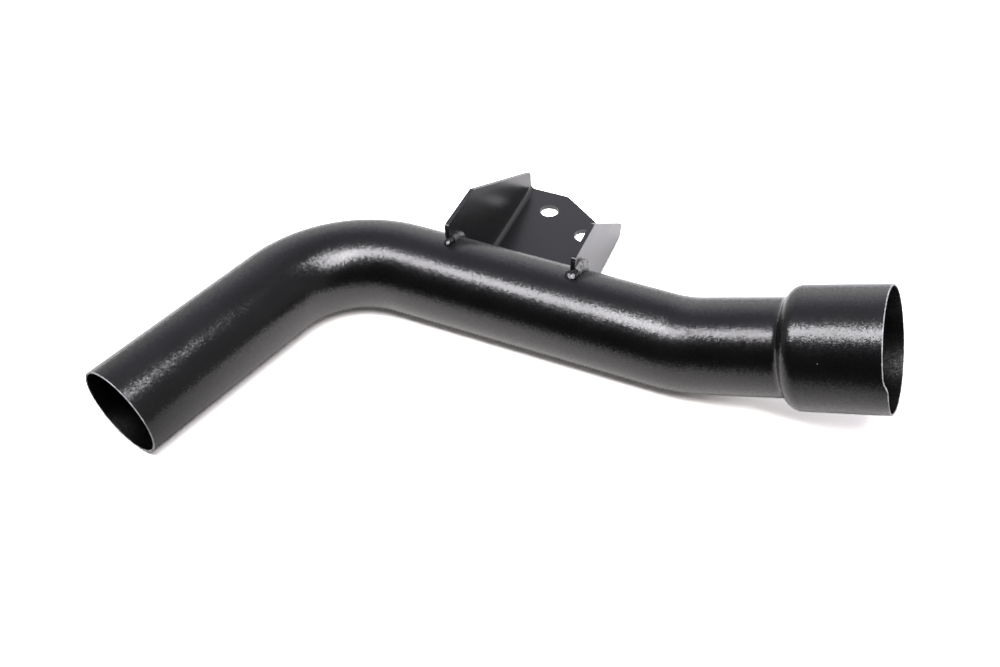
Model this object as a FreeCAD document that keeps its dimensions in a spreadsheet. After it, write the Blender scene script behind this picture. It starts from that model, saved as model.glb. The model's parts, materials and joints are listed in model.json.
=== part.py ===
import os
from math import acos, cos, radians, sin, sqrt, tan

import FreeCAD
import Part
import Sketcher

V = FreeCAD.Vector
UP = V(0, 0, 1)
# Points closer than this count as the same point
NEAR = 0.3

# Driving sizes in millimetres and degrees: name, value, meaning
SIZES = [
    ("tube_diameter", 63.5, "outside diameter of the bent tube"),
    ("tube_wall", 1.5, "wall of the bent tube"),
    ("bend_radius", 76.2, "centreline radius of both bends"),
    ("inlet_length", 135.5, "straight run at the plain end"),
    ("first_bend_angle", 75, "bend that lies flat"),
    ("middle_length", 188.5, "straight run that carries the bracket"),
    ("bend_plane_turn", 87, "turn of the tube between the two bends"),
    ("second_bend_angle", 19, "bend that lifts the socket"),
    ("neck_length", 53, "straight run from the second bend to the shoulder"),
    ("neck_radius", 5, "outside hollow radius where the shoulder starts"),
    ("shoulder_radius", 10, "outside round radius where the socket starts"),
    ("socket_bore", 76.4, "inside diameter of the swaged socket"),
    ("socket_wall", 1.2, "wall of the socket, thinned by the swage"),
    ("socket_length", 51.5, "straight socket from the shoulder to the mouth"),
    ("jog_height", 2, "how far the uneven saw cut stands proud of the mouth"),
    ("jog_radius", 12, "radius of both curves of the uneven cut"),
    ("jog_start", 9, "where the uneven cut starts, above the socket's axis"),
    ("jog_end", 30.5, "where the uneven cut ends, below the socket's axis"),
    ("sheet", 3, "thickness of the bracket's steel sheet"),
    ("fold_radius", 4, "inside radius of the bracket's folds"),
    ("channel_width", 89.5, "outside width of the bracket across its web"),
    ("flange_lean", 1.8, "how far each flange leans out"),
    ("flange_rise", 13, "how far the flanges stand above the tube's top line"),
    ("bracket_position", 75.2, "middle of the bracket, from the end of the first bend"),
    ("bracket_lift", 1.5, "underside of the web above the tube's lowest line"),
    ("flange_front", 5.5, "front edge of the flanges behind the tube's top line"),
    ("web_gap", 1.5, "gap between the tube and the front edge of the web"),
    ("left_top_end", 48, "where the left flange starts to slope down"),
    ("right_top_end", 43.5, "where the right flange starts to slope down"),
    ("tip_height", 18, "height of both flanges at their far ends"),
    ("left_far", 150.5, "far end of the left flange and of the web"),
    ("right_far", 117, "far end of the right flange"),
    ("corner_cut_start", 10, "where the web's corner is cut off, left of its middle"),
    ("flange_corner_radius", 2.5, "round at the front top corner of each flange"),
    ("sheet_corner_radius", 1.5, "round at the other corners of the sheet"),
    ("hole_diameter", 14.5, "bolt holes in the web"),
    ("hole_spacing", 40, "distance between the bolt holes"),
    ("hole_line_angle", 27.5, "slope of the line through the bolt holes"),
    ("hole_line_distance", 119.3, "middle of the bolt holes behind the tube's axis"),
    ("cope_gap", 0.2, "gap between the tube and the coped flanges"),
    ("bead_leg", 4.5, "leg of the weld beads"),
    ("bead_bulge", 0.8, "how far the face of a weld bead bulges"),
    ("bead_length", 26, "length of the flange beads round the tube"),
    ("bead_front", 6, "how far a flange bead reaches in front of its flange"),
    ("bead_inset", 0.5, "how far a flange bead stays inside the flange's bare face"),
    ("web_bead_length", 50, "length of the bead along the front of the web"),
    ("bead_end_radius", 1.5, "round at the ends of the weld beads"),
]

doc = FreeCAD.newDocument("exhaust_tube")
sheet = doc.addObject("Spreadsheet::Sheet", "sizes")


def fill_sheet():
    rows = SIZES + [
        ("origin_x", 0, "moves the part's middle to the origin"),
        ("origin_y", 0, "moves the part's middle to the origin"),
    ]
    for row, (name, value, meaning) in enumerate(rows, start=1):
        sheet.set(f"A{row}", meaning)
        sheet.set(f"B{row}", str(value))
        sheet.setAlias(f"B{row}", name)
    doc.recompute()


fill_sheet()


def size(name):
    return float(sheet.get(name))


def new_body(name):
    body = doc.addObject("PartDesign::Body", name)
    body.Label = name
    body.setExpression("Placement.Base.x", "sizes.origin_x")
    body.setExpression("Placement.Base.y", "sizes.origin_y")
    return body


def new_sketch(body, name, role, at=None):
    sketch = body.newObject("Sketcher::SketchObject", name)
    plane = [f for f in body.Origin.OriginFeatures if f.Role == role][0]
    sketch.AttachmentSupport = [(plane, "")]
    sketch.MapMode = "FlatFace"
    if at:
        sketch.setExpression("AttachmentOffset", at)
    doc.recompute()
    return sketch


def vector(x, y, z):
    return f"create(<<vector>>; {x}; {y}; {z})"


def turn(axis, angle):
    return f"create(<<rotation>>; {vector(*axis)}; {angle})"


def offset(base, rotation=turn((0, 0, 1), 0)):
    return f"create(<<placement>>; {vector(*base)}; {rotation})"


def dimension(sketch, name, expression, kind, *where):
    """Adds one named dimension that follows an expression of the sheet."""
    index = sketch.addConstraint(Sketcher.Constraint(kind, *where))
    sketch.renameConstraint(index, name)
    sketch.setExpression(f"Constraints.{name}", expression)


def tie(sketch, kind, *where):
    sketch.addConstraint(Sketcher.Constraint(kind, *where))


def draw_loop(sketch, points):
    """Draws a closed outline of straight lines with joined ends."""
    lines = []
    for start, end in zip(points, points[1:] + points[:1]):
        lines.append(sketch.addGeometry(Part.LineSegment(V(*start), V(*end))))
    for line, following in zip(lines, lines[1:] + lines[:1]):
        tie(sketch, "Coincident", line, 2, following, 1)
    return lines


def place_point(sketch, name, line, end, x, y):
    """Fixes one end of a line by its two coordinates, each an expression."""
    point = sketch.getPoint(line, end)
    dimension(sketch, f"{name}_x", x, "DistanceX", -1, 1, line, end, point.x)
    dimension(sketch, f"{name}_y", y, "DistanceY", -1, 1, line, end, point.y)


def finish(body, feature):
    body.Tip = feature
    doc.recompute()
    return feature


def pad(body, name, sketch, length, reverse=False):
    feature = body.newObject("PartDesign::Pad", name)
    feature.Profile = sketch
    feature.Reversed = reverse
    feature.setExpression("Length", length)
    return finish(body, feature)


def pocket(body, name, sketch, reverse=False, both_ways=False):
    """Cuts a profile right through, and stops if it cuts nothing."""
    before = body.Shape.Volume
    feature = body.newObject("PartDesign::Pocket", name)
    feature.Profile = sketch
    feature.Type = "ThroughAll"
    feature.Midplane = both_ways
    feature.Reversed = reverse
    finish(body, feature)
    if not feature.Shape.Volume < before:
        raise RuntimeError(f"{name} cuts nothing")
    return feature


def revolve(body, name, sketch, axis, angle, reverse=False, both_ways=False):
    feature = body.newObject("PartDesign::Revolution", name)
    feature.Profile = sketch
    feature.ReferenceAxis = (sketch, [axis])
    feature.Reversed = reverse
    feature.Midplane = both_ways
    feature.setExpression("Angle", angle)
    return finish(body, feature)


def round_edges(body, name, radius, wanted):
    """Fillets the edges of the body that the test picks."""
    base = body.Tip
    names = [f"Edge{i}" for i, edge in enumerate(base.Shape.Edges, start=1) if wanted(edge)]
    if not names:
        raise RuntimeError(f"{name} finds no edge")
    feature = body.newObject("PartDesign::Fillet", name)
    feature.Base = (base, names)
    feature.setExpression("Radius", radius)
    return finish(body, feature)


# Expressions that several pieces share
AXIS_HEIGHT = "sizes.tube_diameter / 2"
TUBE_RADIUS = "sizes.tube_diameter / 2"
TUBE_BORE_RADIUS = "(sizes.tube_diameter / 2 - sizes.tube_wall)"
SOCKET_BORE_RADIUS = "sizes.socket_bore / 2"
SOCKET_RADIUS = "(sizes.socket_bore / 2 + sizes.socket_wall)"
WEB_TOP = "(sizes.bracket_lift + sizes.sheet)"
FLANGE_TOP = "(sizes.tube_diameter + sizes.flange_rise)"
WEB_FRONT = f"(sqrt(({TUBE_RADIUS}) ^ 2 - ({AXIS_HEIGHT} - {WEB_TOP}) ^ 2) + sizes.web_gap)"


# Direction of the tube's underside in an upright section, in degrees
DOWN = -90


# The bent tube: straight runs, two bends and a swaged socket in one piece, with its seam lines underneath
def draw_ring(sketch, seam=DOWN):
    """Draws the section of the tube, with the seam line of its faces in the given direction."""
    outside = size("tube_diameter") / 2
    inside = outside - size("tube_wall")
    for name, rule, radius in (("outer", TUBE_RADIUS, outside), ("bore", TUBE_BORE_RADIUS, inside)):
        circle = Part.Circle(V(), UP, radius)
        circle.AngleXU = radians(seam)
        ring = sketch.addGeometry(circle)
        tie(sketch, "Coincident", ring, 3, -1, 1)
        dimension(sketch, name, rule, "Radius", ring, radius)


def draw_bend_axis(sketch, side):
    """Draws the upright line that a bend turns about, left or right of the ring."""
    reach = size("bend_radius")
    half = size("tube_diameter") / 2
    ends = V(side * reach, -half), V(side * reach, half)
    axis = sketch.addGeometry(Part.LineSegment(*ends), True)
    tie(sketch, "Symmetric", axis, 1, axis, 2, -1)
    dimension(sketch, "half_axis", TUBE_RADIUS, "DistanceY", -1, 1, axis, 2, half)
    dimension(sketch, "bend_radius", "sizes.bend_radius", "Distance", -1, 1, axis, reach)


FIRST_BEND_END = offset(
    (
        "sizes.bend_radius * (cos(sizes.first_bend_angle) - 1)",
        AXIS_HEIGHT,
        "-sizes.bend_radius * sin(sizes.first_bend_angle)",
    ),
    turn((0, 1, 0), "sizes.first_bend_angle"),
)
SECOND_BEND_START = offset(
    (0, AXIS_HEIGHT, "sizes.middle_length"),
    turn((0, 0, 1), "sizes.bend_plane_turn"),
)
# Turns the plane's x, y and z into its z, x and y
ROUND_THE_AXES = turn((1, 1, 1), 240)
SECOND_BEND_RISE = "sizes.bend_radius * (1 - cos(sizes.second_bend_angle))"
SECOND_BEND_END = (
    f"{SECOND_BEND_RISE} * cos(sizes.bend_plane_turn)",
    f"{AXIS_HEIGHT} + {SECOND_BEND_RISE} * sin(sizes.bend_plane_turn)",
    "sizes.middle_length + sizes.bend_radius * sin(sizes.second_bend_angle)",
)
SOCKET_TURN = " * ".join(
    [
        turn((0, 0, 1), "sizes.bend_plane_turn"),
        turn((0, 1, 0), "sizes.second_bend_angle"),
        ROUND_THE_AXES,
    ]
)
# In the socket's sketches x runs out along the socket's axis and y is radial, up for the mouth's trims and
# down for the wall
SOCKET_FRAME = offset(SECOND_BEND_END, SOCKET_TURN)
SOCKET_WALL_FRAME = offset(SECOND_BEND_END, SOCKET_TURN + " * " + turn((1, 0, 0), 180))


def shoulder_run(rise, radii):
    """Axial length of two tangent arcs that climb the given rise."""
    swing = acos(1 - rise / radii)
    return radii * sin(swing), swing


def draw_socket_wall(sketch):
    """Draws half the section of the neck, shoulder and socket."""
    neck = size("neck_length")
    outside = size("tube_diameter") / 2
    inside = outside - size("tube_wall")
    bore = size("socket_bore") / 2
    skin = bore + size("socket_wall")
    hollow = size("neck_radius")
    bulge = size("shoulder_radius")
    run, swing = shoulder_run(skin - outside, hollow + bulge)
    inner_hollow = hollow + size("tube_wall")
    inner_bulge = bulge - size("socket_wall")
    inner_run, inner_swing = shoulder_run(bore - inside, inner_hollow + inner_bulge)
    mouth = neck + run + size("socket_length") + size("jog_height")
    down = radians(-90)
    upward = radians(90)

    def line(start, end):
        return sketch.addGeometry(Part.LineSegment(V(*start), V(*end)))

    def arc(x, y, radius, first, last):
        circle = Part.Circle(V(x, y), UP, radius)
        return sketch.addGeometry(Part.ArcOfCircle(circle, first, last))

    neck_out = line((0, outside), (neck, outside))
    hollow_out = arc(neck, outside + hollow, hollow, down, down + swing)
    bulge_out = arc(neck + run, skin - bulge, bulge, upward, upward + swing)
    socket_out = line((neck + run, skin), (mouth, skin))
    rim = line((mouth, skin), (mouth, bore))
    socket_in = line((mouth, bore), (neck + inner_run, bore))
    bulge_in = arc(neck + inner_run, bore - inner_bulge, inner_bulge, upward, upward + inner_swing)
    hollow_in = arc(neck, inside + inner_hollow, inner_hollow, down, down + inner_swing)
    neck_in = line((neck, inside), (0, inside))
    start = line((0, inside), (0, outside))

    tie(sketch, "Tangent", neck_out, 2, hollow_out, 1)
    tie(sketch, "Tangent", hollow_out, 2, bulge_out, 2)
    tie(sketch, "Tangent", bulge_out, 1, socket_out, 1)
    tie(sketch, "Coincident", socket_out, 2, rim, 1)
    tie(sketch, "Coincident", rim, 2, socket_in, 1)
    tie(sketch, "Tangent", socket_in, 2, bulge_in, 1)
    tie(sketch, "Tangent", bulge_in, 2, hollow_in, 2)
    tie(sketch, "Tangent", hollow_in, 1, neck_in, 1)
    tie(sketch, "Coincident", neck_in, 2, start, 1)
    tie(sketch, "Coincident", start, 2, neck_out, 1)
    for level in (neck_out, socket_out, socket_in, neck_in):
        tie(sketch, "Horizontal", level)
    tie(sketch, "Vertical", rim)
    tie(sketch, "PointOnObject", start, 1, -2)
    tie(sketch, "PointOnObject", start, 2, -2)
    tie(sketch, "Vertical", hollow_in, 1, hollow_out, 1)
    dimension(sketch, "neck", "sizes.neck_length", "DistanceX", -1, 1, neck_out, 2, neck)
    dimension(sketch, "outside", TUBE_RADIUS, "DistanceY", -1, 1, start, 2, outside)
    dimension(sketch, "inside", TUBE_BORE_RADIUS, "DistanceY", -1, 1, start, 1, inside)
    dimension(sketch, "skin", SOCKET_RADIUS, "DistanceY", -1, 1, rim, 1, skin)
    dimension(sketch, "bore", SOCKET_BORE_RADIUS, "DistanceY", -1, 1, rim, 2, bore)
    dimension(sketch, "hollow", "sizes.neck_radius", "Radius", hollow_out, hollow)
    dimension(sketch, "bulge", "sizes.shoulder_radius", "Radius", bulge_out, bulge)
    inner_rule = "sizes.shoulder_radius - sizes.socket_wall"
    dimension(sketch, "inner_bulge", inner_rule, "Radius", bulge_in, inner_bulge)
    reach = size("socket_length") + size("jog_height")
    straight = "sizes.socket_length + sizes.jog_height"
    dimension(sketch, "straight", straight, "DistanceX", socket_out, 1, socket_out, 2, reach)


# Distance from the second bend to the true mouth, along the socket
SHOULDER_RADII = "(sizes.neck_radius + sizes.shoulder_radius)"
SHOULDER_RISE = f"({SOCKET_RADIUS} - {TUBE_RADIUS})"
SHOULDER_RUN = f"sqrt({SHOULDER_RISE} * (2 * {SHOULDER_RADII} - {SHOULDER_RISE}))"
MOUTH = f"(sizes.neck_length + {SHOULDER_RUN} + sizes.socket_length)"


def mouth_distance():
    rise = size("socket_bore") / 2 + size("socket_wall") - size("tube_diameter") / 2
    run, _ = shoulder_run(rise, size("neck_radius") + size("shoulder_radius"))
    return size("neck_length") + run + size("socket_length")


def draw_square_trim(sketch):
    """Draws what the saw takes off square, on the far half of the mouth."""
    mouth = mouth_distance()
    half = size("socket_bore")
    past = mouth + size("tube_diameter")
    loop = draw_loop(sketch, [(mouth, -half), (past, -half), (past, half), (mouth, half)])
    for level in (loop[0], loop[2]):
        tie(sketch, "Horizontal", level)
    tie(sketch, "Vertical", loop[1])
    place_point(sketch, "low", loop[0], 1, MOUTH, "-sizes.socket_bore")
    place_point(sketch, "high", loop[2], 1, f"{MOUTH} + sizes.tube_diameter", "sizes.socket_bore")
    tie(sketch, "Vertical", loop[3])


def draw_uneven_trim(sketch):
    """Draws what the saw takes off the near half, where the cut runs out of square."""
    mouth = mouth_distance()
    jog = size("jog_height")
    radius = size("jog_radius")
    top = size("jog_start")
    swing = acos(1 - jog / (2 * radius))
    drop = 2 * radius * sin(swing)
    half = size("socket_bore")
    past = mouth + size("tube_diameter")

    def line(start, end):
        return sketch.addGeometry(Part.LineSegment(V(*start), V(*end)))

    def arc(x, y, first, last):
        circle = Part.Circle(V(x, y), UP, radius)
        return sketch.addGeometry(Part.ArcOfCircle(circle, first, last))

    upper = line((mouth, half), (mouth, top))
    leave = arc(mouth + radius, top, radians(180), radians(180) + swing)
    arrive = arc(mouth + jog - radius, top - drop, 0, swing)
    slope = line((mouth + jog, top - drop), (mouth, -size("jog_end")))
    lower = line((mouth, -size("jog_end")), (mouth, -half))
    floor = line((mouth, -half), (past, -half))
    side = line((past, -half), (past, half))
    roof = line((past, half), (mouth, half))
    tie(sketch, "Tangent", upper, 2, leave, 1)
    tie(sketch, "Tangent", leave, 2, arrive, 2)
    tie(sketch, "Coincident", arrive, 1, slope, 1)
    for before, after in ((slope, lower), (lower, floor), (floor, side), (side, roof), (roof, upper)):
        tie(sketch, "Coincident", before, 2, after, 1)
    for upright in (upper, lower, side):
        tie(sketch, "Vertical", upright)
    for level in (floor, roof):
        tie(sketch, "Horizontal", level)
    tie(sketch, "Equal", leave, arrive)
    dimension(sketch, "jog_radius", "sizes.jog_radius", "Radius", leave, radius)
    place_point(sketch, "jog_start", upper, 2, MOUTH, "sizes.jog_start")
    place_point(sketch, "jog_end", lower, 1, MOUTH, "-sizes.jog_end")
    crest = f"{MOUTH} + sizes.jog_height"
    dimension(sketch, "crest", crest, "DistanceX", -1, 1, slope, 1, mouth + jog)
    tie(sketch, "Horizontal", arrive, 3, arrive, 1)
    dimension(sketch, "floor", "-sizes.socket_bore", "DistanceY", -1, 1, floor, 1, -half)
    place_point(sketch, "roof", roof, 1, f"{MOUTH} + sizes.tube_diameter", "sizes.socket_bore")


def make_tube():
    body = new_body("exhaust_tube")
    at_axis = offset((0, AXIS_HEIGHT, 0))

    middle = new_sketch(body, "middle_section", "YZ_Plane", at_axis)
    draw_ring(middle)
    pad(body, "middle_run", middle, "sizes.middle_length")

    first = new_sketch(body, "first_bend_section", "YZ_Plane", at_axis)
    draw_ring(first)
    draw_bend_axis(first, -1)
    revolve(body, "first_bend", first, "Axis0", "sizes.first_bend_angle")

    inlet = new_sketch(body, "inlet_section", "YZ_Plane", FIRST_BEND_END)
    draw_ring(inlet)
    pad(body, "inlet_run", inlet, "sizes.inlet_length", reverse=True)

    second = new_sketch(body, "second_bend_section", "YZ_Plane", SECOND_BEND_START)
    draw_ring(second, DOWN - size("bend_plane_turn"))
    draw_bend_axis(second, 1)
    revolve(body, "second_bend", second, "Axis0", "sizes.second_bend_angle")

    wall = new_sketch(body, "socket_wall_section", "YZ_Plane", SOCKET_WALL_FRAME)
    draw_socket_wall(wall)
    revolve(body, "socket", wall, "H_Axis", "360")

    far_trim = new_sketch(body, "square_trim", "YZ_Plane", SOCKET_FRAME)
    draw_square_trim(far_trim)
    pocket(body, "far_mouth_trim", far_trim)

    near_trim = new_sketch(body, "uneven_trim", "YZ_Plane", SOCKET_FRAME)
    draw_uneven_trim(near_trim)
    pocket(body, "near_mouth_trim", near_trim, reverse=True)
    return body


# The bracket: one folded sheet, a channel with two sloped flanges
def draw_channel(sketch):
    """Draws the section of the channel with sharp folds, round its own middle."""
    half = size("channel_width") / 2
    thick = size("sheet")
    low = size("bracket_lift")
    top = size("tube_diameter") + size("flange_rise")
    lean = tan(radians(size("flange_lean")))
    inner = half - thick

    def out(x, z):
        return x + (z - low) * lean

    points = [
        (-half, low),
        (half, low),
        (out(half, top), top),
        (out(inner, top), top),
        (out(inner, low + thick), low + thick),
        (-out(inner, low + thick), low + thick),
        (-out(inner, top), top),
        (-out(half, top), top),
    ]
    loop = draw_loop(sketch, points)
    under, right_out, right_top, right_in, floor, left_in, _, left_out = loop
    tie(sketch, "Symmetric", under, 1, under, 2, -2)
    tie(sketch, "Symmetric", floor, 1, floor, 2, -2)
    tie(sketch, "Symmetric", right_out, 2, left_out, 1, -2)
    tie(sketch, "Symmetric", right_in, 1, left_in, 2, -2)
    tie(sketch, "Horizontal", right_top)
    tie(sketch, "Parallel", right_out, right_in)
    half_width = "sizes.channel_width / 2"
    dimension(sketch, "half_width", half_width, "DistanceX", -1, 1, under, 2, half)
    dimension(sketch, "lift", "sizes.bracket_lift", "DistanceY", -1, 1, under, 2, low)
    dimension(sketch, "web", "sizes.sheet", "DistanceY", under, 2, floor, 1, thick)
    dimension(sketch, "height", FLANGE_TOP, "DistanceY", -1, 1, right_top, 1, top)
    across = "sizes.sheet / cos(sizes.flange_lean)"
    thick_across = thick / cos(radians(size("flange_lean")))
    dimension(sketch, "flange", across, "DistanceX", right_top, 2, right_top, 1, thick_across)
    climb = f"({FLANGE_TOP} - sizes.bracket_lift)"
    spread = f"sizes.channel_width / 2 + {climb} * tan(sizes.flange_lean)"
    dimension(sketch, "spread", spread, "DistanceX", -1, 1, right_top, 1, out(half, top))


def draw_slope(sketch, top_end, far):
    """Draws what is cut off above a flange's sloped edge."""
    top = size("tube_diameter") + size("flange_rise")
    tip = size("bracket_lift") + size("tip_height")
    points = [(size(top_end), top), (size(far), tip), (size(far), top)]
    loop = draw_loop(sketch, points)
    place_point(sketch, "top", loop[0], 1, f"sizes.{top_end}", FLANGE_TOP)
    tip_rule = "sizes.bracket_lift + sizes.tip_height"
    place_point(sketch, "tip", loop[0], 2, f"sizes.{far}", tip_rule)
    tie(sketch, "Vertical", loop[1])
    tie(sketch, "Horizontal", loop[2])


def draw_web_front(sketch):
    """Draws what is cut off the web and folds beside the tube."""
    front = size("flange_front")
    high = size("tube_diameter") / 2
    web_top = size("bracket_lift") + size("sheet")
    back = sqrt(high ** 2 - (high - web_top) ** 2) + size("web_gap")
    loop = draw_loop(sketch, [(front, 0), (back, 0), (back, high), (front, high)])
    for level in (loop[0], loop[2]):
        tie(sketch, "Horizontal", level)
    for upright in (loop[1], loop[3]):
        tie(sketch, "Vertical", upright)
    place_point(sketch, "low", loop[0], 1, "sizes.flange_front", "0")
    place_point(sketch, "high", loop[1], 2, WEB_FRONT, AXIS_HEIGHT)


def draw_corner_cut(sketch):
    """Draws the corner that is cut off the web and the right flange's far end."""
    start = -size("corner_cut_start")
    fold = size("channel_width") / 2 - size("sheet") - size("fold_radius")
    past = size("channel_width")
    near = size("right_far")
    far = size("left_far")
    loop = draw_loop(sketch, [(start, far), (fold, near), (past, near), (past, far)])
    fold_line = "sizes.channel_width / 2 - sizes.sheet - sizes.fold_radius"
    place_point(sketch, "start", loop[0], 1, "-sizes.corner_cut_start", "sizes.left_far")
    place_point(sketch, "fold", loop[1], 1, fold_line, "sizes.right_far")
    dimension(sketch, "past", "sizes.channel_width", "DistanceX", -1, 1, loop[2], 1, past)
    tie(sketch, "Horizontal", loop[1])
    tie(sketch, "Vertical", loop[2])
    tie(sketch, "Horizontal", loop[3])


def draw_holes(sketch):
    radius = size("hole_diameter") / 2
    reach = size("hole_spacing") / 2
    slope = radians(size("hole_line_angle"))
    middle = size("hole_line_distance")
    for name, side in (("left", -1), ("right", 1)):
        centre = V(side * reach * cos(slope), middle - side * reach * sin(slope))
        circle = sketch.addGeometry(Part.Circle(centre, UP, radius))
        dimension(sketch, f"{name}_hole", "sizes.hole_diameter / 2", "Radius", circle, radius)
        along = f"{side} * sizes.hole_spacing / 2 * cos(sizes.hole_line_angle)"
        across = f"sizes.hole_line_distance - {side} * sizes.hole_spacing / 2"
        place_point(sketch, name, circle, 3, along, f"{across} * sin(sizes.hole_line_angle)")


def make_bracket_sheet():
    body = new_body("bracket_sheet")
    section_at = offset(("sizes.bracket_position", 0, "-sizes.flange_front"))
    section = new_sketch(body, "channel_section", "XZ_Plane", section_at)
    draw_channel(section)
    pad(body, "channel", section, "sizes.left_far - sizes.flange_front", reverse=True)

    middle = size("bracket_position")
    half = size("channel_width") / 2
    low = size("bracket_lift")
    top = size("tube_diameter") + size("flange_rise")
    thick = size("sheet")

    def fold_edge(edge, height):
        box = edge.BoundBox
        return box.YLength > thick and abs(box.ZMax - height) < NEAR and box.ZLength < NEAR

    inside = low + thick
    round_edges(body, "inner_folds", "sizes.fold_radius", lambda e: fold_edge(e, inside))
    fold_out = "sizes.fold_radius + sizes.sheet"
    round_edges(body, "outer_folds", fold_out, lambda e: fold_edge(e, low))

    beside = offset((0, 0, "sizes.bracket_position"))
    web_front = new_sketch(body, "web_front_cut", "YZ_Plane", beside)
    draw_web_front(web_front)
    pocket(body, "web_front_end", web_front, both_ways=True)

    left = new_sketch(body, "left_slope_cut", "YZ_Plane", beside)
    draw_slope(left, "left_top_end", "left_far")
    pocket(body, "left_slope", left)

    right = new_sketch(body, "right_slope_cut", "YZ_Plane", beside)
    draw_slope(right, "right_top_end", "right_far")
    pocket(body, "right_slope", right, reverse=True)

    from_below = offset(("sizes.bracket_position", 0, 0))
    corner = new_sketch(body, "corner_cut", "XY_Plane", from_below)
    draw_corner_cut(corner)
    pocket(body, "web_corner", corner, reverse=True)

    holes = new_sketch(body, "bolt_holes", "XY_Plane", from_below)
    draw_holes(holes)
    pocket(body, "bolt_hole_pair", holes, reverse=True)

    def crosses_flange(edge, y, z):
        box = edge.BoundBox
        there = abs(box.YMin - y) < NEAR and abs(box.ZMin - z) < NEAR
        return there and box.YLength < NEAR and abs(edge.CenterOfMass.x - middle) > half - thick

    front = size("flange_front")
    rounds = "sizes.flange_corner_radius"
    round_edges(body, "flange_front_corners", rounds, lambda e: crosses_flange(e, front, top))
    tip = low + size("tip_height")
    corners = [
        (size("left_top_end"), top),
        (size("right_top_end"), top),
        (size("left_far"), tip),
        (size("right_far"), tip),
    ]
    small = "sizes.sheet_corner_radius"
    round_edges(
        body,
        "sheet_corners",
        small,
        lambda e: any(crosses_flange(e, y, z) for y, z in corners),
    )
    return body


def tube_cylinder(name, extra):
    """A solid bar of the tube's outside along the middle run, a little fatter by extra."""
    bar = doc.addObject("Part::Cylinder", name)
    bar.Placement = FreeCAD.Placement(V(), FreeCAD.Rotation(V(0, 1, 0), 90))
    bar.setExpression("Radius", f"{TUBE_RADIUS} + {extra}")
    bar.setExpression("Height", "sizes.middle_length")
    bar.setExpression("Placement.Base.x", "sizes.origin_x")
    bar.setExpression("Placement.Base.y", "sizes.origin_y")
    bar.setExpression("Placement.Base.z", AXIS_HEIGHT)
    return bar


def cut(name, base, tool):
    result = doc.addObject("Part::Cut", name)
    result.Label = name
    result.Base = base
    result.Tool = tool
    doc.recompute()
    return result


# The weld beads that hold the bracket on the tube
def draw_bead(sketch):
    """Draws the section of a bead on one face of a flange and across its front edge."""
    low = size("tube_diameter") / 2
    leg = size("bead_leg")
    bulge = size("bead_bulge")
    half = size("sheet") / 2
    rear = half - size("bead_inset")
    high = low + leg
    radius = (leg * leg / 2 + bulge * bulge) / (2 * bulge)
    swing = acos(1 - bulge / radius)
    back = (radius - bulge) / sqrt(2)
    slant = radians(45)
    circle = Part.Circle(V(half + leg / 2 - back, low + leg / 2 - back), UP, radius)

    foot = sketch.addGeometry(Part.LineSegment(V(-rear, low), V(half + leg, low)))
    face = sketch.addGeometry(Part.ArcOfCircle(circle, slant - swing, slant + swing))
    crest = sketch.addGeometry(Part.LineSegment(V(half, high), V(-rear, high)))
    bare = sketch.addGeometry(Part.LineSegment(V(-rear, high), V(-rear, low)))
    tie(sketch, "Coincident", foot, 2, face, 1)
    tie(sketch, "Coincident", face, 2, crest, 1)
    tie(sketch, "Coincident", crest, 2, bare, 1)
    tie(sketch, "Coincident", bare, 2, foot, 1)
    tie(sketch, "Horizontal", foot)
    tie(sketch, "Horizontal", crest)
    tie(sketch, "Vertical", bare)
    place_point(sketch, "foot", foot, 2, "sizes.sheet / 2 + sizes.bead_leg", TUBE_RADIUS)
    place_point(sketch, "crest", crest, 1, "sizes.sheet / 2", f"{TUBE_RADIUS} + sizes.bead_leg")
    bulge_rule = "(sizes.bead_leg ^ 2 / 2 + sizes.bead_bulge ^ 2) / (2 * sizes.bead_bulge)"
    dimension(sketch, "face", bulge_rule, "Radius", face, radius)
    width_rule = "sizes.sheet - sizes.bead_inset"
    dimension(sketch, "crest_width", width_rule, "DistanceX", crest, 2, crest, 1, half + rear)


def make_flange_bead(name, side, bracket_sheet):
    """A bead along one face of a flange, that also covers the foot of its front edge."""
    body = new_body(f"{name}_blank")
    rise = "(sizes.tube_diameter - sizes.bracket_lift) * tan(sizes.flange_lean)"
    reach = f"(sizes.channel_width / 2 - sizes.sheet / 2 + {rise})"
    middle = f"sizes.bracket_position + {side} * {reach}"
    front = f"asin((sizes.flange_front - sizes.bead_front) / ({TUBE_RADIUS})) / 1 deg"
    sweep = f"sizes.bead_length / ({TUBE_RADIUS}) * 180 / pi"
    at = offset((middle, AXIS_HEIGHT, 0), turn((1, 0, 0), f"-({front} + {sweep} / 2)"))
    section = new_sketch(body, f"{name}_section", "XZ_Plane", at)
    draw_bead(section)
    revolve(body, f"{name}_run", section, "H_Axis", sweep, both_ways=True)

    radius = size("tube_diameter") / 2
    axis = V(0, 0, radius)

    def end_edge(edge):
        first, last = edge.Vertexes[0].Point, edge.Vertexes[-1].Point
        across = abs(first.x - last.x) > NEAR
        base = all((p - axis).cross(V(1, 0, 0)).Length < radius + NEAR for p in (first, last))
        return across and not base

    round_edges(body, f"{name}_ends", "sizes.bead_end_radius", end_edge)
    return cut(name, body, bracket_sheet)


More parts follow.
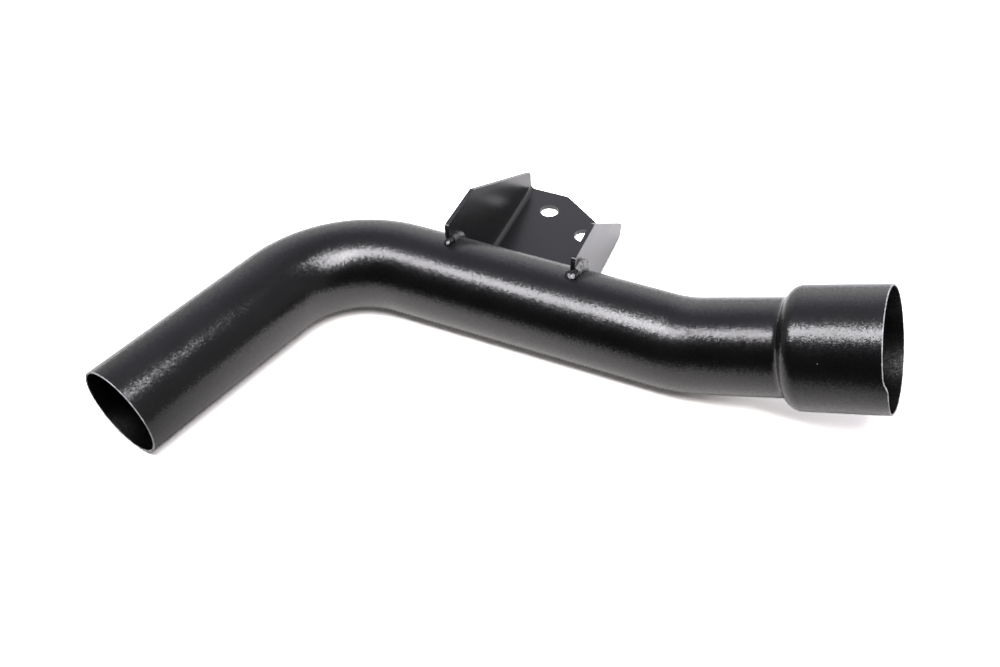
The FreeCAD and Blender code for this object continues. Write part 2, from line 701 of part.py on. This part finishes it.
def draw_web_bead(sketch):
    """Draws the bead in the notch between the web's front edge and the tube."""
    radius = size("tube_diameter") / 2
    top = size("bracket_lift") + size("sheet")
    leg = size("bead_leg")
    front = sqrt(radius ** 2 - (radius - top) ** 2) + size("web_gap")
    climb = sqrt(radius ** 2 - (radius - top - leg) ** 2)
    points = [(0, radius), (front, top - size("sheet") / 2), (front + leg, top), (climb, top + leg)]
    loop = draw_loop(sketch, points)
    place_point(sketch, "axis", loop[0], 1, "0", AXIS_HEIGHT)
    place_point(sketch, "root", loop[1], 1, WEB_FRONT, f"{WEB_TOP} - sizes.sheet / 2")
    place_point(sketch, "toe", loop[2], 1, f"{WEB_FRONT} + sizes.bead_leg", WEB_TOP)
    level = f"({AXIS_HEIGHT} - {WEB_TOP} - sizes.bead_leg)"
    climb_rule = f"sqrt(({TUBE_RADIUS}) ^ 2 - {level} ^ 2)"
    place_point(sketch, "climb", loop[3], 1, climb_rule, f"{WEB_TOP} + sizes.bead_leg")


def make_web_bead(name, bracket_sheet, tube_bar):
    body = new_body(f"{name}_blank")
    start = "sizes.bracket_position - sizes.web_bead_length / 2"
    section = new_sketch(body, f"{name}_section", "YZ_Plane", offset((0, 0, start)))
    draw_web_bead(section)
    pad(body, f"{name}_run", section, "sizes.web_bead_length")
    clear_of_tube = cut(f"{name}_on_tube", body, tube_bar)
    return cut(name, clear_of_tube, bracket_sheet)


def centre_on_origin(pieces):
    """Moves the origin to the middle of the part's box, on the floor."""
    box = Part.Compound([p.Shape for p in pieces]).optimalBoundingBox(False, False)
    sheet.set("origin_x", str(-box.Center.x))
    sheet.set("origin_y", str(-box.Center.y))
    doc.recompute()


def check_document(pieces):
    for item in doc.Objects:
        bad = [word for word in item.State if word in ("Invalid", "Error")]
        if bad:
            raise RuntimeError(f"{item.Label} is {bad}")
    for piece in pieces:
        if piece.Shape.isNull() or not piece.Shape.isValid():
            raise RuntimeError(f"{piece.Label} has no valid shape")
        if len(piece.Shape.Solids) != 1:
            raise RuntimeError(f"{piece.Label} has {len(piece.Shape.Solids)} solids")


def main():
    tube = make_tube()
    bracket_sheet = make_bracket_sheet()
    cope = tube_cylinder("cope", "sizes.cope_gap")
    tube_bar = tube_cylinder("tube_bar", "0")
    pieces = [
        tube,
        cut("mounting_bracket", bracket_sheet, cope),
        make_flange_bead("left_weld_bead", -1, bracket_sheet),
        make_flange_bead("right_weld_bead", 1, bracket_sheet),
        make_web_bead("web_weld_bead", bracket_sheet, tube_bar),
    ]
    centre_on_origin(pieces)
    check_document(pieces)
    os.makedirs("parts", exist_ok=True)
    for piece in pieces:
        box = piece.Shape.optimalBoundingBox(False, False)
        print(piece.Label, round(piece.Shape.Volume, 1), box)
        piece.Shape.exportStep(f"parts/{piece.Label}.step")


main()
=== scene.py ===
import json
import math

import bmesh
import bpy
from mathutils import Matrix, Vector
from mathutils.bvhtree import BVHTree


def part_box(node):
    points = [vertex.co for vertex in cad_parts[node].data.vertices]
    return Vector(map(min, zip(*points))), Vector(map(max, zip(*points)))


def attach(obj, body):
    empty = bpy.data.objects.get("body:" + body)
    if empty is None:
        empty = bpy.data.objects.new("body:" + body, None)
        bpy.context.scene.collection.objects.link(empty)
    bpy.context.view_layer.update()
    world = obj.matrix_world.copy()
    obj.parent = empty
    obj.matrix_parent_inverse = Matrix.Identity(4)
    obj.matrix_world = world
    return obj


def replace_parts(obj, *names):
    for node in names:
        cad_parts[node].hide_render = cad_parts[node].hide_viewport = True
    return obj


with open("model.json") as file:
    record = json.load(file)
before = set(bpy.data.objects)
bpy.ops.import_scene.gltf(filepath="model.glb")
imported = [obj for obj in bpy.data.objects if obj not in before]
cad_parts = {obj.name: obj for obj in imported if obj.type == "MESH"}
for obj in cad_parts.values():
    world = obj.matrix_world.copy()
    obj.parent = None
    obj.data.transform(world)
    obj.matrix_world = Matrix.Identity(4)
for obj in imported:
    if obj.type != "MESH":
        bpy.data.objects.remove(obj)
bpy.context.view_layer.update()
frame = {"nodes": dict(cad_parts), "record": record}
scene = bpy.context.scene
scene.view_settings.view_transform = "Standard"

# Camera: place and nearest distance in metres, angles in degrees, lens and sensor in millimetres
CAMERA_PLACE = (0.1866, -0.4555, 0.5311)
CAMERA_NEAREST = 0.01
CAMERA_HEADING = 24.32
CAMERA_PITCH = -45.76
CAMERA_ROLL = -1.73
CAMERA_LENS = 37.69
CAMERA_SENSOR = 36.0

# Two softboxes over the front of the part: places and sizes in metres, angles in degrees
SOFTBOX_TILT = 18.0
SOFTBOX_COLOUR = (1.0, 0.985, 1.02)
LONG_BOX_PLACE = (-0.05, -0.385, 0.95)
LONG_BOX_SIZE = (1.3, 0.32)
LONG_BOX_HEADING = -6.0
LONG_BOX_WATTS = 10.6
SHORT_BOX_PLACE = (0.12, -0.17, 0.93)
SHORT_BOX_SIZE = (0.46, 0.34)
SHORT_BOX_HEADING = 36.0
SHORT_BOX_WATTS = 2.7

# Room light by direction: both sides of the ceiling, far wall, left wall, right wall and camera side
ROOM_CEILING_LEFT = 0.32
ROOM_CEILING_RIGHT = 0.12
ROOM_FAR = 1.05
ROOM_LEFT = 0.25
ROOM_RIGHT = 0.2
ROOM_NEAR = 0.02
ROOM_TINT_LOW = (1.0, 0.99, 0.985, 1.0)
ROOM_TINT_HIGH = (0.97, 0.95, 1.09, 1.0)
# Where these lights fade into each other, as parts of a direction of length one
WALL_SIDE_FADE = (-0.8, 0.8)
WALL_NEAR_FADE = (-0.75, -0.2)
WALL_FAR_FADE = (0.2, 0.9)
CEILING_SIDE_FADE = (-0.5, 0.5)
CEILING_NEAR_FADE = (-0.8, -0.3)
ROOM_HEIGHT_FADE = (0.35, 1.0)
ROOM_TINT_FADE = (0.2, 0.7)

# Half the floor's width in metres, and its colour as a lit surface
FLOOR_HALF = 4.0
FLOOR_COLOUR = (0.9, 0.89, 0.88, 1.0)
# The floor's white as the camera sees it, and as the part's gloss shows it behind and before the part
FLOOR_SEEN = (3.95, 3.86, 3.68, 1.0)
# In the gloss the floor is brighter behind the part than before it: painted light on the floor, seen only in
# reflections
FLOOR_MIRRORED_BACK = (1.48, 1.47, 1.46, 1.0)
FLOOR_MIRRORED_FRONT = (1.2, 1.17, 1.12, 1.0)
MIRROR_FADE = (-0.12, 0.0)
# Towards the camera's side the floor turns dark for every ray but the camera's: that direction, and where it
# fades out, in metres
DARK_FLOOR_WAY = (0.2, -0.98, 0.0)
DARK_FLOOR_FADE = (-0.06, 0.27)
FLOOR_DARK = (0.04, 0.04, 0.04, 1.0)

# Black powder coat: its clouds from dark to light
COAT_SPECULAR = 1.0
COAT_DARK = (0.0014, 0.0014, 0.0016, 1.0)
COAT_LIGHT = (0.003, 0.003, 0.0034, 1.0)
CLOUD_SCALE = 45.0
CLOUD_DETAIL = 3.0
CLOUD_RANGE = (0.3, 0.7)
# Dust: look, cells to a metre, size of a speck in its cell and the draw above which a cell has one
DUST = (0.14, 0.14, 0.145, 1.0)
DUST_ROUGHNESS = 0.7
DUST_CELLS = 85.0
DUST_SIZE = 0.032
DUST_DRAW = 0.78
# Roughness from and to in the clouds, and the dry coat inside the socket
TUBE_ROUGHNESS = (0.205, 0.235)
SHEET_ROUGHNESS = (0.276, 0.295)
WELD_ROUGHNESS = (0.18, 0.22)
INNER_ROUGHNESS = 0.31
# Grain of each coat: depth in metres and tilt of its facets
TUBE_GRAIN = (0.00003, 0.082)
SHEET_GRAIN = (0.000012, 0.012)
WELD_GRAIN = (0.00012, 0.06)
# What the grain is made of: facets, pits and peel, as cells or waves to a metre
FACET_CELLS = 1000.0
PIT_CELLS = 1150.0
PEEL_SCALE = 1250.0
PEEL_DETAIL = 0.0
GRAIN_STRENGTH = 1.0

# Light patches in the coat: on the lips the coat is thin and the steel greys it, with a painted highlight on
# top; on the part of each weld behind its toe they are a painted reflection of the floor
PATCH_DETAIL = 3.0
PATCH_RANGE = (0.35, 0.65)
# Lips: grey partly from the thin coat over the steel and partly a painted highlight along the rounded edge
LIP_PATCH_SCALE = 260.0
LIP_WEAR_AND_HIGHLIGHT_DARK = (0.32, 0.32, 0.325, 1.0)
LIP_WEAR_AND_HIGHLIGHT_LIGHT = (0.72, 0.72, 0.73, 1.0)
LIP_PATCH_ROUGHNESS = (0.25, 0.4)
# Behind each weld's toe the lobes are lightened in patches: a painted reflection of the floor
WELD_REFLECTION_SCALE = 420.0
LEFT_WELD_REFLECTION_DARK = (0.008, 0.008, 0.009, 1.0)
LEFT_WELD_REFLECTION_LIGHT = (0.07, 0.07, 0.072, 1.0)
LEFT_REFLECTION_ROUGHNESS = (0.25, 0.4)
RIGHT_WELD_REFLECTION_DARK = (0.08, 0.08, 0.082, 1.0)
RIGHT_WELD_REFLECTION_LIGHT = (0.42, 0.42, 0.425, 1.0)
RIGHT_REFLECTION_ROUGHNESS = (0.3, 0.5)

# One millimetre in metres
MM = 0.001


def low_corner(node):
    """A node's lowest corner, in millimetres to a hundredth."""
    return [round(value / MM, 2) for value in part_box(node)[0]]


# The two ends of the tube, its radii and walls, and the axis of its middle run, in millimetres
MOUNTS = {mount["name"]: mount for mount in frame["record"]["mounts"]}
PLAIN_END = MOUNTS["plain_end"]
SOCKET = MOUNTS["slip_socket"]
TUBE_RADIUS = PLAIN_END["dims"]["r_mm"]
TUBE_WALL = 1.5
SOCKET_BORE_RADIUS = SOCKET["dims"]["r_mm"]
SOCKET_WALL = 1.2
MIDDLE_AXIS = (22.54, TUBE_RADIUS)
# The front edge of the flanges, and the faces that the welds lie on and bite into, in millimetres
FLANGE_FRONT = low_corner("mounting_bracket")[1]
WELD_BITE = 1.0
LEFT_FLANGE = low_corner("left_weld_bead")[0] + WELD_BITE
RIGHT_FLANGE = low_corner("right_weld_bead")[0] + WELD_BITE

# Swellings of each weld in millimetres: right of its flange, back round the tube, rise above it, three radii
LEFT_SWELLINGS = [
    (2.4, 8.0, 0.2, (2.8, 3.6, 3.2)),
    (2.8, 14.0, 0.6, (3.0, 3.6, 3.4)),
    (3.0, 20.0, 0.4, (3.0, 3.6, 3.2)),
    (2.6, 24.6, 0.0, (2.4, 3.0, 2.6)),
]
RIGHT_SWELLINGS = [
    (2.4, 8.6, 1.2, (2.8, 3.2, 4.2)),
    (2.8, 13.2, 2.6, (3.2, 4.4, 5.0)),
    (3.6, 20.0, 2.0, (3.6, 4.6, 5.0)),
    (3.0, 25.6, 0.4, (2.6, 3.0, 3.4)),
]
# The toe of each weld before the front edge of its flange, in the same order, and its slope in degrees
LEFT_TOE = (1.3, 3.0, 0.9, (2.7, 3.6, 1.5))
RIGHT_TOE = (0.3, 2.6, 0.9, (4.3, 4.2, 1.7))
TOE_SLOPE = 30.0
# Fillings between neighbouring swellings: place along the way and size against their mean
FILLINGS = ((0.35, 0.93), (0.65, 0.93))
# Fineness of each lump, and rounds of smoothing of the joined ones
LUMP_SUBDIVISIONS = 4
WELD_SMOOTHING = 8
# Mesh size of the welds, how deep they reach into the tube and where the painted reflection on them starts,
# in millimetres
WELD_VOXEL = 0.32
WELD_ROOT = 0.4
WELD_REFLECTION_START = 7.0

# Rounded lips on the cut ends: steps round the tube and over the lip
LIP_STEPS = 240
LIP_ARC_STEPS = 6
# Height of a lip, depth of its root and where the search for the cut starts, in millimetres
LIP_BULGE = 0.35
LIP_ROOT = 0.3
LIP_SEARCH = 10.0
# Width of a lip against the wall, and of its root against the lip
LIP_PROUD = 1.03
LIP_ROOT_WIDTH = 0.8


def make_camera():
    data = bpy.data.cameras.new("camera")
    data.lens = CAMERA_LENS
    data.sensor_width = CAMERA_SENSOR
    data.sensor_fit = "HORIZONTAL"
    data.clip_start = CAMERA_NEAREST
    camera = bpy.data.objects.new("camera", data)
    heading = Matrix.Rotation(math.radians(CAMERA_HEADING), 4, "Z")
    pitch = Matrix.Rotation(math.radians(90 + CAMERA_PITCH), 4, "X")
    roll = Matrix.Rotation(math.radians(CAMERA_ROLL), 4, "Z")
    camera.matrix_world = Matrix.Translation(CAMERA_PLACE) @ heading @ pitch @ roll
    scene.collection.objects.link(camera)
    scene.camera = camera


def make_softbox(name, place, size, turn, watts):
    data = bpy.data.lights.new(name, "AREA")
    data.shape = "RECTANGLE"
    data.size, data.size_y = size
    data.energy = watts
    data.color = SOFTBOX_COLOUR
    lamp = bpy.data.objects.new(name, data)
    heading = Matrix.Rotation(math.radians(turn), 4, "Z")
    tilt = Matrix.Rotation(math.radians(SOFTBOX_TILT), 4, "X")
    lamp.matrix_world = Matrix.Translation(place) @ heading @ tilt
    scene.collection.objects.link(lamp)


class Nodes:
    """A short way to add nodes and links to one tree."""

    def __init__(self, tree):
        self.tree = tree
        tree.nodes.clear()

    def add(self, kind, **settings):
        node = self.tree.nodes.new(kind)
        for name, value in settings.items():
            setattr(node, name, value)
        return node

    def feed(self, target, source):
        """Sets a socket from another socket or from a plain value."""
        if isinstance(source, bpy.types.NodeSocket):
            self.tree.links.new(source, target)
        else:
            target.default_value = source

    def feed_all(self, node, inputs):
        for socket, source in zip(node.inputs, inputs):
            self.feed(socket, source)

    def maths(self, operation, *inputs):
        node = self.add("ShaderNodeMath", operation=operation)
        self.feed_all(node, inputs)
        return node.outputs[0]

    def vector(self, operation, *inputs):
        node = self.add("ShaderNodeVectorMath", operation=operation)
        self.feed_all(node, inputs)
        return node.outputs["Vector"]

    def dot(self, first, second):
        node = self.add("ShaderNodeVectorMath", operation="DOT_PRODUCT")
        self.feed_all(node, (first, second))
        return node.outputs["Value"]

    def ramp(self, value, low, high, out_low=0.0, out_high=1.0):
        node = self.add("ShaderNodeMapRange", interpolation_type="SMOOTHSTEP")
        for name, source in (
            ("Value", value),
            ("From Min", low),
            ("From Max", high),
            ("To Min", out_low),
            ("To Max", out_high),
        ):
            self.feed(node.inputs[name], source)
        return node.outputs["Result"]

    def noise(self, place, scale, detail):
        node = self.add("ShaderNodeTexNoise")
        self.feed(node.inputs["Vector"], place)
        self.feed(node.inputs["Scale"], scale)
        self.feed(node.inputs["Detail"], detail)
        return node.outputs["Fac"]

    def cells(self, place, scale):
        node = self.add("ShaderNodeTexVoronoi")
        self.feed(node.inputs["Vector"], place)
        self.feed(node.inputs["Scale"], scale)
        return node.outputs

    def mix_colour(self, factor, first, second):
        node = self.add("ShaderNodeMix", data_type="RGBA")
        self.feed(node.inputs["Factor"], factor)
        colours = [socket for socket in node.inputs if socket.type == "RGBA"]
        self.feed(colours[0], first)
        self.feed(colours[1], second)
        return next(socket for socket in node.outputs if socket.type == "RGBA")

    def show(self, kind, shader):
        """Ends the tree in an output node that shows the shader."""
        self.feed(self.add(kind).inputs["Surface"], shader.outputs[0])


def make_room():
    world = bpy.data.worlds.new("room")
    scene.world = world
    world.use_nodes = True
    n = Nodes(world.node_tree)
    way = n.add("ShaderNodeSeparateXYZ")
    n.feed(way.inputs[0], n.add("ShaderNodeTexCoord").outputs["Generated"])
    x, y, z = way.outputs
    side = n.ramp(x, *WALL_SIDE_FADE, ROOM_LEFT, ROOM_RIGHT)
    depth = n.ramp(y, *WALL_NEAR_FADE, ROOM_NEAR, side)
    low = n.ramp(y, *WALL_FAR_FADE, depth, ROOM_FAR)
    ceiling = n.ramp(x, *CEILING_SIDE_FADE, ROOM_CEILING_LEFT, ROOM_CEILING_RIGHT)
    high = n.ramp(y, *CEILING_NEAR_FADE, ROOM_NEAR, ceiling)
    level = n.ramp(z, *ROOM_HEIGHT_FADE, low, high)
    path = n.add("ShaderNodeLightPath")
    level = n.maths("MAXIMUM", level, path.outputs["Is Camera Ray"])
    background = n.add("ShaderNodeBackground")
    tint = n.mix_colour(n.ramp(z, *ROOM_TINT_FADE), ROOM_TINT_LOW, ROOM_TINT_HIGH)
    n.feed(background.inputs["Color"], tint)
    n.feed(background.inputs["Strength"], level)
    n.show("ShaderNodeOutputWorld", background)


def new_material(name):
    material = bpy.data.materials.new(name)
    material.use_nodes = True
    return material, Nodes(material.node_tree)


def make_floor():
    mesh = bpy.data.meshes.new("floor")
    h = FLOOR_HALF
    mesh.from_pydata([(-h, -h, 0), (h, -h, 0), (h, h, 0), (-h, h, 0)], [], [(0, 1, 2, 3)])
    floor = bpy.data.objects.new("floor", mesh)
    scene.collection.objects.link(floor)
    material, n = new_material("white_floor")
    ahead = n.dot(n.add("ShaderNodeNewGeometry").outputs["Position"], DARK_FLOOR_WAY)
    pale_floor = n.ramp(ahead, *DARK_FLOOR_FADE, 1.0, 0.0)
    path = n.add("ShaderNodeLightPath")
    white = n.maths("MAXIMUM", pale_floor, path.outputs["Is Camera Ray"])
    mirrored = n.maths("MAXIMUM", path.outputs["Is Glossy Ray"], path.outputs["Is Transmission Ray"])
    # Painted light: the floor seen in reflections is brighter behind the part
    forward = n.ramp(ahead, *MIRROR_FADE)
    mirror = n.mix_colour(forward, FLOOR_MIRRORED_BACK, FLOOR_MIRRORED_FRONT)
    colour = n.mix_colour(mirrored, FLOOR_COLOUR, mirror)
    colour = n.mix_colour(path.outputs["Is Camera Ray"], colour, FLOOR_SEEN)
    diffuse = n.add("ShaderNodeBsdfDiffuse")
    n.feed(diffuse.inputs["Color"], n.mix_colour(white, FLOOR_DARK, colour))
    n.show("ShaderNodeOutputMaterial", diffuse)
    mesh.materials.append(material)


def add_grain(n, shader, place, grain):
    """Fine orange peel of a powder coat: small tilted facets, and bump on them."""
    depth, tilt = grain
    facets = n.cells(place, FACET_CELLS)
    spread = (tilt, tilt, tilt)
    centre = (-tilt / 2, -tilt / 2, -tilt / 2)
    lean = n.vector("MULTIPLY_ADD", facets["Color"], spread, centre)
    normal = n.add("ShaderNodeNewGeometry").outputs["Normal"]
    facing = n.vector("NORMALIZE", n.vector("ADD", normal, lean))
    pits = n.cells(place, PIT_CELLS)
    peel = n.noise(place, PEEL_SCALE, PEEL_DETAIL)
    bump = n.add("ShaderNodeBump")
    n.feed(bump.inputs["Height"], n.maths("ADD", pits["Distance"], peel))
    n.feed(bump.inputs["Distance"], depth)
    n.feed(bump.inputs["Strength"], GRAIN_STRENGTH)
    n.feed(bump.inputs["Normal"], facing)
    n.feed(shader.inputs["Normal"], bump.outputs[0])


def inside_mouth(n, place, mount, radius):
    """One on the wall inside an end of the tube, zero elsewhere."""
    offset = n.vector("SUBTRACT", place, mount["pos_m"])
    along = n.dot(offset, mount["axis"])
    across = n.maths("SUBTRACT", n.dot(offset, offset), n.maths("MULTIPLY", along, along))
    within = n.maths("LESS_THAN", across, (radius * MM) ** 2)
    near_mouth = n.maths("GREATER_THAN", along, -mount["dims"]["length_mm"] * MM)
    return n.maths("MULTIPLY", within, near_mouth)


def coat_material(name, roughness, grain, dry_mouth=None):
    """Semi-gloss black powder coat with a fine grain and a few specks of dust."""
    material, n = new_material(name)
    place = n.add("ShaderNodeTexCoord").outputs["Object"]
    cloud = n.noise(place, CLOUD_SCALE, CLOUD_DETAIL)
    specks = n.cells(place, DUST_CELLS)
    draw = n.add("ShaderNodeSeparateColor")
    n.feed(draw.inputs[0], specks["Color"])
    near = n.maths("LESS_THAN", specks["Distance"], DUST_SIZE)
    dust = n.maths("MULTIPLY", near, n.maths("GREATER_THAN", draw.outputs[0], DUST_DRAW))
    shader = n.add("ShaderNodeBsdfPrincipled")
    coat = n.mix_colour(cloud, COAT_DARK, COAT_LIGHT)
    n.feed(shader.inputs["Base Color"], n.mix_colour(dust, coat, DUST))
    gloss = n.ramp(cloud, *CLOUD_RANGE, *roughness)
    if dry_mouth:
        inside = inside_mouth(n, place, *dry_mouth)
        gloss = n.maths("MAXIMUM", gloss, n.maths("MULTIPLY", inside, INNER_ROUGHNESS))
    gloss = n.maths("MAXIMUM", gloss, n.maths("MULTIPLY", dust, DUST_ROUGHNESS))
    n.feed(shader.inputs["Roughness"], gloss)
    n.feed(shader.inputs["Specular IOR Level"], COAT_SPECULAR)
    add_grain(n, shader, place, grain)
    n.show("ShaderNodeOutputMaterial", shader)
    return material


def wear_and_painted_light_material(name, scale, dark, light, roughness):
    """The same coat lightened in patches: worn thin with a painted highlight on the lips, and a painted
    reflection of the floor on the welds.
    """
    material, n = new_material(name)
    place = n.add("ShaderNodeTexCoord").outputs["Object"]
    wear_and_light_patches = n.ramp(n.noise(place, scale, PATCH_DETAIL), *PATCH_RANGE)
    shader = n.add("ShaderNodeBsdfPrincipled")
    n.feed(shader.inputs["Base Color"], n.mix_colour(wear_and_light_patches, dark, light))
    n.feed(shader.inputs["Roughness"], n.ramp(wear_and_light_patches, 0.0, 1.0, *roughness))
    n.feed(shader.inputs["Specular IOR Level"], COAT_SPECULAR)
    add_grain(n, shader, place, TUBE_GRAIN)
    n.show("ShaderNodeOutputMaterial", shader)
    return material


def dress_node(name, coat):
    mesh = frame["nodes"][name].data
    mesh.materials.clear()
    mesh.materials.append(coat)


def add_piece(name, mesh, material):
    mesh.materials.append(material)
    for polygon in mesh.polygons:
        polygon.use_smooth = True
    piece = bpy.data.objects.new(name, mesh)
    scene.collection.objects.link(piece)
    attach(piece, "root")
    return piece


def melt(lumps):
    """Joins overlapping lumps into one smooth mesh."""
    rough = bpy.data.meshes.new("lumps")
    lumps.to_mesh(rough)
    lumps.free()
    helper = bpy.data.objects.new("lumps", rough)
    scene.collection.objects.link(helper)
    remesh = helper.modifiers.new("remesh", "REMESH")
    remesh.mode = "VOXEL"
    remesh.voxel_size = WELD_VOXEL * MM
    smooth = helper.modifiers.new("smooth", "SMOOTH")
    smooth.iterations = WELD_SMOOTHING
    melted = helper.evaluated_get(bpy.context.evaluated_depsgraph_get())
    mesh = bpy.data.meshes.new_from_object(melted)
    bpy.data.objects.remove(helper)
    bpy.data.meshes.remove(rough)
    return mesh


def fillings(swellings):
    """Lumps that fill the creases between neighbouring swellings."""
    lumps = []
    for first, second in zip(swellings, swellings[1:]):
        for share, size in FILLINGS:
            place = Vector(first[:3]).lerp(Vector(second[:3]), share)
            radii = Vector(first[3]).lerp(Vector(second[3]), share) * size
            lumps.append((*place, radii))
    return lumps


def add_lump(lumps, axis, lump, slope=0.0):
    """Adds an ellipsoid that lies on the tube and leans by the slope."""
    right, back, rise, radii = lump
    round_tube = Matrix.Rotation(-back / TUBE_RADIUS, 4, "X")
    place = Matrix.Translation((right, 0, TUBE_RADIUS + rise))
    lean = Matrix.Rotation(math.radians(slope), 4, "X")
    shape = Matrix.Translation(axis) @ round_tube @ place @ lean @ Matrix.Diagonal((*radii, 1.0))
    in_metres = Matrix.Scale(MM, 4) @ shape
    bmesh.ops.create_icosphere(lumps, subdivisions=LUMP_SUBDIVISIONS, radius=1.0, matrix=in_metres)


def make_weld(name, node, flange, toe, swellings, coat, reflection_coat):
    """A hand-laid weld on one face of a flange and across its front edge."""
    axis = Vector((flange, *MIDDLE_AXIS))
    lumps = bmesh.new()
    add_lump(lumps, axis, toe, TOE_SLOPE)
    for lump in swellings + fillings([toe] + swellings):
        add_lump(lumps, axis, lump)
    mesh = melt(lumps)
    mesh.name = name
    least = (TUBE_RADIUS - WELD_ROOT) * MM
    for vertex in mesh.vertices:
        spoke = Vector((0, vertex.co.y - axis.y * MM, vertex.co.z - axis.z * MM))
        if spoke.length < least:
            vertex.co += spoke.normalized() * (least - spoke.length)
        if vertex.co.y > FLANGE_FRONT * MM:
            vertex.co.x = max(vertex.co.x, flange * MM)
    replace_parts(add_piece(name, mesh, coat), node)
    # Polygons behind the toe get the painted reflection of the floor
    reflection_slot = len(mesh.materials)
    mesh.materials.append(reflection_coat)
    for polygon in mesh.polygons:
        back = math.asin((polygon.center.y / MM - axis.y) / TUBE_RADIUS) * TUBE_RADIUS
        if back > WELD_REFLECTION_START:
            polygon.material_index = reflection_slot


def make_lip(name, mount, radius, wall, tube, material):
    """A rounded lip on a cut end of the tube, which follows the cut."""
    mouth = Vector(mount["pos_m"])
    axis = Vector(mount["axis"]).normalized()
    side = axis.orthogonal().normalized()
    corners = [vertex.co for vertex in tube.data.vertices]
    tree = BVHTree.FromPolygons(corners, [polygon.vertices for polygon in tube.data.polygons])
    half = wall / 2 * LIP_PROUD
    root_half = LIP_ROOT_WIDTH * half
    profile = [(root_half, -LIP_ROOT), (-root_half, -LIP_ROOT)]
    for step in range(LIP_ARC_STEPS + 1):
        angle = math.pi * step / LIP_ARC_STEPS
        profile.append((-half * math.cos(angle), LIP_BULGE * math.sin(angle)))
    points = []
    for step in range(LIP_STEPS):
        spoke = Matrix.Rotation(2 * math.pi * step / LIP_STEPS, 3, axis) @ side
        start = mouth + spoke * (radius * MM) + axis * (LIP_SEARCH * MM)
        cut = tree.ray_cast(start, -axis)[0]
        points += [cut + spoke * (out * MM) + axis * (up * MM) for out, up in profile]
    count = len(profile)
    faces = []
    for step in range(LIP_STEPS):
        here = step * count
        there = (step + 1) % LIP_STEPS * count
        for i in range(count):
            j = (i + 1) % count
            faces.append((here + i, there + i, there + j, here + j))
    mesh = bpy.data.meshes.new(name)
    mesh.from_pydata(points, [], faces)
    mesh.update()
    add_piece(name, mesh, material)


def make_pieces():
    plain_middle = TUBE_RADIUS - TUBE_WALL / 2
    socket_middle = SOCKET_BORE_RADIUS + SOCKET_WALL / 2
    tube_coat = coat_material("tube_coat", TUBE_ROUGHNESS, TUBE_GRAIN, (SOCKET, socket_middle))
    sheet_coat = coat_material("sheet_coat", SHEET_ROUGHNESS, SHEET_GRAIN)
    weld_coat = coat_material("weld_coat", WELD_ROUGHNESS, WELD_GRAIN)
    # The welds' lobes behind the toe carry a painted reflection of the floor
    left_look = (WELD_REFLECTION_SCALE, LEFT_WELD_REFLECTION_DARK, LEFT_WELD_REFLECTION_LIGHT, LEFT_REFLECTION_ROUGHNESS)
    left_weld_painted_reflection = wear_and_painted_light_material("left_weld_painted_reflection", *left_look)
    right_look = (WELD_REFLECTION_SCALE, RIGHT_WELD_REFLECTION_DARK, RIGHT_WELD_REFLECTION_LIGHT, RIGHT_REFLECTION_ROUGHNESS)
    right_weld_painted_reflection = wear_and_painted_light_material("right_weld_painted_reflection", *right_look)
    # The lips' colour is worn coat together with a painted highlight
    lip_look = (LIP_PATCH_SCALE, LIP_WEAR_AND_HIGHLIGHT_DARK, LIP_WEAR_AND_HIGHLIGHT_LIGHT, LIP_PATCH_ROUGHNESS)
    lip_wear_and_highlight = wear_and_painted_light_material("lip_wear_and_highlight", *lip_look)
    for name, coat in (
        ("exhaust_tube", tube_coat),
        ("mounting_bracket", sheet_coat),
        ("left_weld_bead", weld_coat),
        ("right_weld_bead", weld_coat),
        ("web_weld_bead", weld_coat),
    ):
        dress_node(name, coat)
    left_shape = (LEFT_FLANGE, LEFT_TOE, LEFT_SWELLINGS)
    make_weld("left_weld", "left_weld_bead", *left_shape, weld_coat, left_weld_painted_reflection)
    right_shape = (RIGHT_FLANGE, RIGHT_TOE, RIGHT_SWELLINGS)
    make_weld("right_weld", "right_weld_bead", *right_shape, weld_coat, right_weld_painted_reflection)
    tube = frame["nodes"]["exhaust_tube"]
    make_lip("plain_end_lip", PLAIN_END, plain_middle, TUBE_WALL, tube, lip_wear_and_highlight)
    make_lip("socket_lip", SOCKET, socket_middle, SOCKET_WALL, tube, lip_wear_and_highlight)


make_camera()
make_softbox("long_softbox", LONG_BOX_PLACE, LONG_BOX_SIZE, LONG_BOX_HEADING, LONG_BOX_WATTS)
make_softbox("short_softbox", SHORT_BOX_PLACE, SHORT_BOX_SIZE, SHORT_BOX_HEADING, SHORT_BOX_WATTS)
make_room()
make_floor()
make_pieces()
